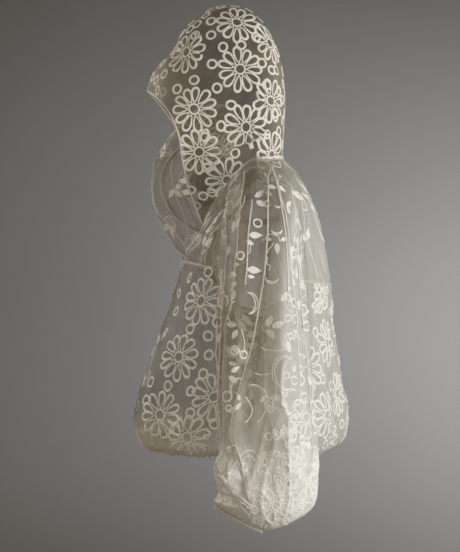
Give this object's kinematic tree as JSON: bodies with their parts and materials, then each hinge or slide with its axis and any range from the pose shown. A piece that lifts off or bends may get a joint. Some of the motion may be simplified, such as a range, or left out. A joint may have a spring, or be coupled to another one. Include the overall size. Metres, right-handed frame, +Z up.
{
  "type": "embroidered organza hooded jacket, worn form",
  "caption": "Cropped, boxy hooded jacket of sheer embroidered organza, hood up, with full gathered sleeves, one hanging and one raised.",
  "frame": {"origin": "middle of the shoulder line, between the two shoulder points, where the wearer's shoulders hold the jacket", "axes": "+Z up, -Y towards the front, +X towards the wearer's left"},
  "size_m": [0.6791, 0.3252, 0.766],
  "materials": {
    "embroidered_organza": "sheer off-white organza with raised corded embroidery",
    "edge_band": "gathered off-white organza casing"
  },
  "bodies": {
    "root": {"front_yoke_left": "embroidered_organza", "front_yoke_right": "embroidered_organza", "front_left": "embroidered_organza", "front_right": "embroidered_organza", "back_yoke": "embroidered_organza", "back": "embroidered_organza", "hood_left": "embroidered_organza", "hood_right": "embroidered_organza", "sleeve_left": "embroidered_organza", "sleeve_right": "embroidered_organza", "cuff_left": "edge_band", "cuff_right": "edge_band", "hem_band": "edge_band"}
  },
  "joints": []
}
